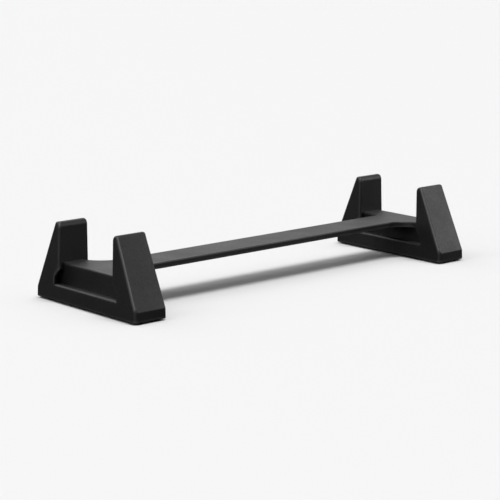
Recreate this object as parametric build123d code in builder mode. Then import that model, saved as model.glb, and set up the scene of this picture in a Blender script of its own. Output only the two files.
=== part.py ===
# Low stand with two slanted feet joined by a spine, moulded in one piece, on four rubber floor pads.
# X runs along the channel from front to back, Y across it, Z up; the origin is on the floor, at the centre.
import math
import os
from build123d import *

os.makedirs("parts", exist_ok=True)

# Channel between the wedges
held_thickness = 39.0
side_clearance = 0.25

# Feet
foot_spacing = 222.0
foot_length = 20.0
slant_angle = 39.0
wedge_reach = 16.25
wedge_top = 27.0
wedge_land = 2.65
toe_height = 3.8
bar_top = 6.2
draft_angle = 1.5

# Raised rest on each foot and the notch at the root of each wedge
rest_height = 13.5
rest_setback = 3.6
notch_depth = 3.2
notch_wall = 2.4
notch_slope = 2.8

# Spine between the feet
spine_width = 18.0
spine_thickness = 2.0
spine_corner = 6.0
rib_width = 2.0
rib_depth = 1.7

# Moulding walls and edges
skin = 2.2
edge_radius = 0.8
lead_radius = 1.8
toe_corner = 1.2
foot_radius = 0.4
rest_radius = 0.5

# Floor pads
pad_across = 5.2
pad_end_margin = 3.5
pad_thickness = 1.2
pad_proud = 0.5
pad_margin = 1.4
pad_corner = 1.0
pad_fit = 0.1
pad_radius = 0.3

# Sizes that follow from those above
half_channel = held_thickness / 2 + side_clearance
half_width = half_channel + wedge_reach
lean = math.tan(math.radians(slant_angle))
run = foot_spacing + foot_length + 2 * half_width * lean
foot_places = (-foot_spacing / 2, foot_spacing / 2)
base = pad_proud
notch_reach = half_channel + notch_depth
notch_top = bar_top + notch_wall + notch_slope
rest_length = foot_length - 2 * rest_setback
plate_bottom = rest_height - spine_thickness
core_length = rest_length - 2 * skin
pad_along = foot_length - 2 * pad_end_margin
core_inner = half_channel + skin
pad_middle = half_width - pad_margin - pad_across / 2
core_outer = pad_middle - pad_across / 2 - skin
wedge_fall = (wedge_top - toe_height) / (wedge_reach - wedge_land)
slope_wall = skin * math.hypot(1, wedge_fall)


def under_slope(y):
    # Height of the inside of a wedge's sloping wall, at a distance across from the middle
    return wedge_top - (y - half_channel - wedge_land) * wedge_fall - slope_wall


def slanted(x, length, y_low, y_high):
    # Corners of a plan outline that leans with the feet
    half = length / 2
    return [
        (x - half + y_low * lean, y_low),
        (x + half + y_low * lean, y_low),
        (x + half + y_high * lean, y_high),
        (x - half + y_high * lean, y_high),
    ]


# Hollows that the mould leaves under the rests and inside the wedges
with BuildPart() as cores:
    with BuildSketch(Plane.YZ):
        with BuildLine():
            Polyline(
                (rib_width / 2, 0),
                (half_channel, 0),
                (half_channel, rest_height - skin),
                (rib_width / 2, rest_height - skin),
                close=True,
            )
        make_face()
        with BuildLine():
            Polyline(
                (core_inner, 0),
                (core_outer, 0),
                (core_outer, under_slope(core_outer)),
                (core_inner, under_slope(core_inner)),
                close=True,
            )
        make_face()
        mirror(about=Plane.YZ)
    extrude(amount=run, both=True)
    with BuildSketch(Plane.XY):
        for foot_x in foot_places:
            with BuildLine():
                Polyline(*slanted(foot_x, core_length, -half_width, half_width), close=True)
            make_face()
    extrude(amount=wedge_top, mode=Mode.INTERSECT)

# Moulded frame
with BuildPart() as frame:
    # Section across the channel, run along it, with a rounded lead-in at the top of each wedge
    with BuildSketch(Plane.YZ) as section:
        with BuildLine():
            Polyline(
                (0, base),
                (half_width, base),
                (half_width, toe_height),
                (half_channel + wedge_land, wedge_top),
                (half_channel, wedge_top),
                (half_channel, notch_top),
                (notch_reach, bar_top + notch_wall),
                (notch_reach, bar_top),
                (0, bar_top),
                close=True,
            )
        make_face()
        fillet(section.vertices().group_by(Axis.Y)[-1].sort_by(Axis.X)[0], radius=lead_radius)
        mirror(about=Plane.YZ)
    extrude(amount=run, both=True)

    # Feet cut off on their slanted faces, which have the mould's draft
    with BuildSketch(Plane.XY.offset(base)) as plan:
        for foot_x in foot_places:
            with BuildLine():
                Polyline(*slanted(foot_x, foot_length, -half_width, half_width), close=True)
            make_face()
        fillet(plan.vertices(), radius=toe_corner)
    extrude(amount=wedge_top, taper=draft_angle, mode=Mode.INTERSECT)

    # Rounded edges of wedges, toes and bars, except in the notches
    raised_edges = frame.edges().filter_by(lambda e: e.center().Z > toe_height - edge_radius)
    fillet(
        raised_edges.filter_by(
            lambda e: not (
                half_channel - foot_radius < abs(e.center().Y) < notch_reach + foot_radius
                and e.center().Z < notch_top + foot_radius
            )
        ),
        radius=edge_radius,
    )
    fillet(frame.edges().group_by(Axis.Z)[0], radius=foot_radius)

    # Rests, set back from the faces of the bars
    with BuildSketch(Plane.XY.offset(base + foot_radius)):
        for foot_x in foot_places:
            with BuildLine():
                Polyline(*slanted(foot_x, rest_length, -notch_reach, notch_reach), close=True)
            make_face()
    extrude(amount=plate_bottom - base - foot_radius)

    # Tops of the rests and the spine between them, in one plate
    with BuildSketch(Plane.XY.offset(plate_bottom)) as plate:
        for foot_x in foot_places:
            with BuildLine():
                Polyline(*slanted(foot_x, rest_length, -half_channel, half_channel), close=True)
            make_face()
        with BuildLine():
            Polyline(*slanted(0, foot_spacing, -spine_width / 2, spine_width / 2), close=True)
        make_face()
        fillet(plate.vertices().filter_by(lambda v: abs(v.Y) < half_channel / 2), radius=spine_corner)
    extrude(amount=spine_thickness)

    # Stiffening rib under the spine
    with BuildSketch(Plane.XY.offset(plate_bottom - rib_depth)):
        with BuildLine():
            Polyline(*slanted(0, foot_spacing, -rib_width / 2, rib_width / 2), close=True)
        make_face()
    extrude(amount=rib_depth)

    # Rounded top edges of the rests and the spine
    fillet(
        frame.edges().filter_by(
            lambda e: abs(e.center().Z - rest_height) < foot_radius
            and abs(e.center().Y) < half_channel - foot_radius
        ),
        radius=rest_radius,
    )

    # Hollows, and seats for the floor pads
    add(cores.part, mode=Mode.SUBTRACT)
    with BuildSketch(Plane.XY.offset(base)) as seats:
        for foot_x in foot_places:
            for y in (-pad_middle, pad_middle):
                with BuildLine():
                    Polyline(*slanted(foot_x, pad_along, y - pad_across / 2, y + pad_across / 2), close=True)
                make_face()
        fillet(seats.vertices(), radius=pad_corner)
    extrude(amount=pad_thickness - pad_proud, mode=Mode.SUBTRACT)

frame.part.label = "frame"
export_step(frame.part, "parts/frame.step")

# Floor pads, glued in the seats
pad_number = 0
for foot_x in foot_places:
    for y in (-pad_middle, pad_middle):
        pad_number += 1
        with BuildPart() as pad:
            with BuildSketch(Plane.XY) as outline:
                with BuildLine():
                    Polyline(*slanted(foot_x, pad_along, y - pad_across / 2, y + pad_across / 2), close=True)
                make_face()
                fillet(outline.vertices(), radius=pad_corner)
                offset(amount=-pad_fit)
            extrude(amount=pad_thickness)
            fillet(pad.edges().group_by(Axis.Z)[0], radius=pad_radius)
        pad.part.label = f"pad_{pad_number}"
        export_step(pad.part, f"parts/pad_{pad_number}.step")
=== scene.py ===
import bmesh
import bpy
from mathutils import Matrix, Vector

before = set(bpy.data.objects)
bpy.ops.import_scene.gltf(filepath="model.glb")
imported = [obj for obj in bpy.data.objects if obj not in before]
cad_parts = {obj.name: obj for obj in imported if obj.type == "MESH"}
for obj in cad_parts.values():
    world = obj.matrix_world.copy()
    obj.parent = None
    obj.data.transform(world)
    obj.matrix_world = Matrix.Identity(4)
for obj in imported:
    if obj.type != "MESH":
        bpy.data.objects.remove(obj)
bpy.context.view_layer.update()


# Frame: two slanted feet with upright wedges, and the flat spine that joins them, all one moulding.
# Black ABS, injection moulded in one shot; the spark-eroded mould walls leave a fine matt grain.
# Nothing fixes it: it stands on the floor pads by its own weight.

def linear(hex_colour):
    """An sRGB hex colour as linear RGBA."""
    values = [int(hex_colour[i:i + 2], 16) / 255 for i in (1, 3, 5)]
    return [v / 12.92 if v <= 0.04045 else ((v + 0.055) / 1.055) ** 2.4 for v in values] + [1.0]


def add_node(tree, kind, settings, links):
    """Adds a node; settings are its options or its sockets' values, links its sockets' sources."""
    node = tree.nodes.new(kind)
    for name, value in settings.items():
        if isinstance(name, str) and hasattr(node, name):
            setattr(node, name, value)
        else:
            node.inputs[name].default_value = value
    for name, (source, output) in links.items():
        tree.links.new(source.outputs[output], node.inputs[name])
    return node


# Moulded black ABS with a matt spark-eroded grain: soft, broad highlights and almost no colour.
# The real grain is about 0.3 mm; it is drawn at 0.75 mm so that it shows in the render.
# Clouds of about 22 mm, left by the flow into the mould, vary its tone and gloss a little.
grain_size = 0.00075
grain_depth = 0.00012
cloud_size = 0.022
edge_reach = 0.0013
edge_polish = 0.14
abs_ior = 1.53
moulded_abs = bpy.data.materials.new("moulded_black_abs_matt_grain")
moulded_abs.use_nodes = True
tree = moulded_abs.node_tree
shader = tree.nodes["Principled BSDF"]
shader.inputs["IOR"].default_value = abs_ior
where = add_node(tree, "ShaderNodeTexCoord", {}, {})
grain = add_node(
    tree, "ShaderNodeTexNoise",
    {"Scale": 1 / grain_size, "Detail": 3.0, "Roughness": 0.55},
    {"Vector": (where, "Object")},
)
cloud = add_node(
    tree, "ShaderNodeTexNoise",
    {"Scale": 1 / cloud_size, "Detail": 4.0, "Roughness": 0.6},
    {"Vector": (where, "Object")},
)
# Outer edges come out of the mould smoother and are rubbed by handling, so they are glossier; their
# lighter colour is partly that wear and partly a painted highlight along every outer edge
inside = add_node(
    tree, "ShaderNodeAmbientOcclusion",
    {"inside": True, "only_local": True, "samples": 12, "Distance": edge_reach}, {},
)
edge = add_node(
    tree, "ShaderNodeMapRange",
    {"From Min": 0.93, "From Max": 0.55, "To Min": 0.0, "To Max": 1.0},
    {"Value": (inside, "AO")},
)
tone = add_node(
    tree, "ShaderNodeValToRGB", {},
    {"Fac": (cloud, "Fac")},
)
tone.color_ramp.elements[0].position = 0.32
tone.color_ramp.elements[0].color = linear("#111112")
tone.color_ramp.elements[1].position = 0.70
tone.color_ramp.elements[1].color = linear("#161617")
# The mix lightens the outer edges towards #3a3a3b: partly edge wear, partly a painted highlight
# The mix's colour sockets share their names with others, so they go by number: 6 and 7 in, 2 out
colour = add_node(
    tree, "ShaderNodeMix",
    {"data_type": "RGBA", 7: linear("#3a3a3b")},
    {0: (edge, "Result"), 6: (tone, "Color")},
)
tree.links.new(colour.outputs[2], shader.inputs["Base Color"])
speckle = add_node(
    tree, "ShaderNodeMapRange",
    {"From Min": 0.3, "From Max": 0.7, "To Min": 0.44, "To Max": 0.56},
    {"Value": (grain, "Fac")},
)
drift = add_node(
    tree, "ShaderNodeMapRange",
    {"From Min": 0.3, "From Max": 0.7, "To Min": -0.04, "To Max": 0.05},
    {"Value": (cloud, "Fac")},
)
matt = add_node(
    tree, "ShaderNodeMath", {"operation": "ADD"},
    {0: (speckle, "Result"), 1: (drift, "Result")},
)
polish = add_node(
    tree, "ShaderNodeMath", {"operation": "MULTIPLY_ADD", 1: -edge_polish},
    {0: (edge, "Result"), 2: (matt, "Value")},
)
tree.links.new(polish.outputs["Value"], shader.inputs["Roughness"])
relief = add_node(
    tree, "ShaderNodeBump", {"Strength": 0.30, "Distance": grain_depth},
    {"Height": (grain, "Fac")},
)
tree.links.new(relief.outputs["Normal"], shader.inputs["Normal"])

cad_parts["frame"].data.materials.clear()
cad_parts["frame"].data.materials.append(moulded_abs)


# Floor pads: four small rubber pads, one under each toe, so that the stand does not slide.
# Black rubber, die-cut with a rounded lower edge, glued into shallow seats.

# Black rubber: duller than the plastic, with a fine talc-like bloom in its pores of 0.6 mm.
pore_size = 0.0006
pore_depth = 0.0001
rubber_ior = 1.52
black_rubber = bpy.data.materials.new("die_cut_black_rubber")
black_rubber.use_nodes = True
tree = black_rubber.node_tree
shader = tree.nodes["Principled BSDF"]
shader.inputs["IOR"].default_value = rubber_ior
where = add_node(tree, "ShaderNodeTexCoord", {}, {})
pores = add_node(
    tree, "ShaderNodeTexNoise",
    {"Scale": 1 / pore_size, "Detail": 3.0, "Roughness": 0.6},
    {"Vector": (where, "Object")},
)
bloom = add_node(
    tree, "ShaderNodeValToRGB", {},
    {"Fac": (pores, "Fac")},
)
bloom.color_ramp.elements[0].position = 0.35
bloom.color_ramp.elements[0].color = linear("#121212")
bloom.color_ramp.elements[1].position = 0.72
bloom.color_ramp.elements[1].color = linear("#242423")
tree.links.new(bloom.outputs["Color"], shader.inputs["Base Color"])
dull = add_node(
    tree, "ShaderNodeMapRange",
    {"From Min": 0.3, "From Max": 0.7, "To Min": 0.72, "To Max": 0.9},
    {"Value": (pores, "Fac")},
)
tree.links.new(dull.outputs["Result"], shader.inputs["Roughness"])
relief = add_node(
    tree, "ShaderNodeBump", {"Strength": 0.35, "Distance": pore_depth},
    {"Height": (pores, "Fac")},
)
tree.links.new(relief.outputs["Normal"], shader.inputs["Normal"])

for name in ("pad_1", "pad_2", "pad_3", "pad_4"):
    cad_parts[name].data.materials.clear()
    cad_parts[name].data.materials.append(black_rubber)


# Stage: a plain pale floor that runs out to the horizon, under a white tent that is brightest overhead.
# A small softbox, low behind the stand on the right, gives the slopes a sheen that fades to the front.
# The floor keeps out of reflections and of the softbox's light, so it is even and the sides are dark.

floor_reach = 12.0
floor_mesh = bpy.data.meshes.new("floor")
sheet = bmesh.new()
bmesh.ops.create_grid(sheet, x_segments=1, y_segments=1, size=floor_reach)
sheet.to_mesh(floor_mesh)
sheet.free()
floor = bpy.data.objects.new("floor", floor_mesh)
floor.visible_glossy = False
bpy.context.scene.collection.objects.link(floor)

# Matt emulsion paint, rolled on: an even, pale, almost glossless ground for the shadows.
floor_paint = bpy.data.materials.new("pale_matt_floor_paint")
floor_paint.use_nodes = True
shader = floor_paint.node_tree.nodes["Principled BSDF"]
shader.inputs["Base Color"].default_value = linear("#f2f2f2")
shader.inputs["Roughness"].default_value = 0.9
shader.inputs["Specular IOR Level"].default_value = 0.1
floor_mesh.materials.append(floor_paint)

# White tent: dim down to the horizon, brighter with height
tent_low = 0.01
tent_high = 0.42
tent = bpy.data.worlds.new("white_tent")
tent.use_nodes = True
tree = tent.node_tree
cloth = tree.nodes["Background"]
cloth.inputs["Color"].default_value = linear("#ffffff")
way = add_node(tree, "ShaderNodeTexCoord", {}, {})
height = add_node(
    tree, "ShaderNodeSeparateXYZ", {},
    {"Vector": (way, "Generated")},
)
glow = add_node(
    tree, "ShaderNodeMapRange",
    {
        "interpolation_type": "SMOOTHSTEP",
        "From Min": 0.10, "From Max": 0.80, "To Min": tent_low, "To Max": tent_high,
    },
    {"Value": (height, "Z")},
)
tree.links.new(glow.outputs["Result"], cloth.inputs["Strength"])
bpy.context.scene.world = tent

# Far lights: the way each one shines, its width in radians and its strength
for name, heading, spread, strength in (
    ("overhead_light", (0.10, 0.15, -0.98), 0.6, 1.7),
    ("front_light", (0.85, -0.15, -0.50), 1.0, 0.7),
    ("back_light", (-0.60, -0.70, -0.45), 1.0, 0.6),
):
    sun = bpy.data.lights.new(name, "SUN")
    sun.angle = spread
    sun.energy = strength
    lamp = bpy.data.objects.new(name, sun)
    lamp.rotation_euler = Vector(heading).to_track_quat("-Z", "Y").to_euler()
    bpy.context.scene.collection.objects.link(lamp)

# Softbox, aimed at the rear foot's near slope and flagged off the floor
softbox_place = Vector((0.374, -0.133, 0.136))
rear_slope = Vector((0.085, -0.030, 0.015))
softbox = bpy.data.lights.new("softbox", "AREA")
softbox.shape = "DISK"
softbox.size = 0.18
softbox.energy = 0.137
lamp = bpy.data.objects.new("softbox", softbox)
lamp.location = softbox_place
lamp.rotation_euler = (rear_slope - softbox_place).to_track_quat("-Z", "Y").to_euler()
lamp.visible_camera = False
bpy.context.scene.collection.objects.link(lamp)
flagged = bpy.data.collections.new("flagged_off_softbox")
flagged.objects.link(floor)
lamp.light_linking.receiver_collection = flagged
flagged.collection_objects[0].light_linking.link_state = "EXCLUDE"

# Camera at the photograph's viewing angle: low, in front and to the right, closer in on the stand
viewpoint = Vector((-1.1862, -0.6385, 0.1394))
aim = Vector((-0.0018, 0.0030, 0.0099))
lens = bpy.data.cameras.new("camera")
lens.lens = 275.0
lens.sensor_width = 36.0
lens.clip_end = 100.0
camera = bpy.data.objects.new("camera", lens)
camera.location = viewpoint
camera.rotation_euler = (aim - viewpoint).to_track_quat("-Z", "Y").to_euler()
bpy.context.scene.collection.objects.link(camera)
bpy.context.scene.camera = camera
bpy.context.scene.view_settings.view_transform = "Standard"
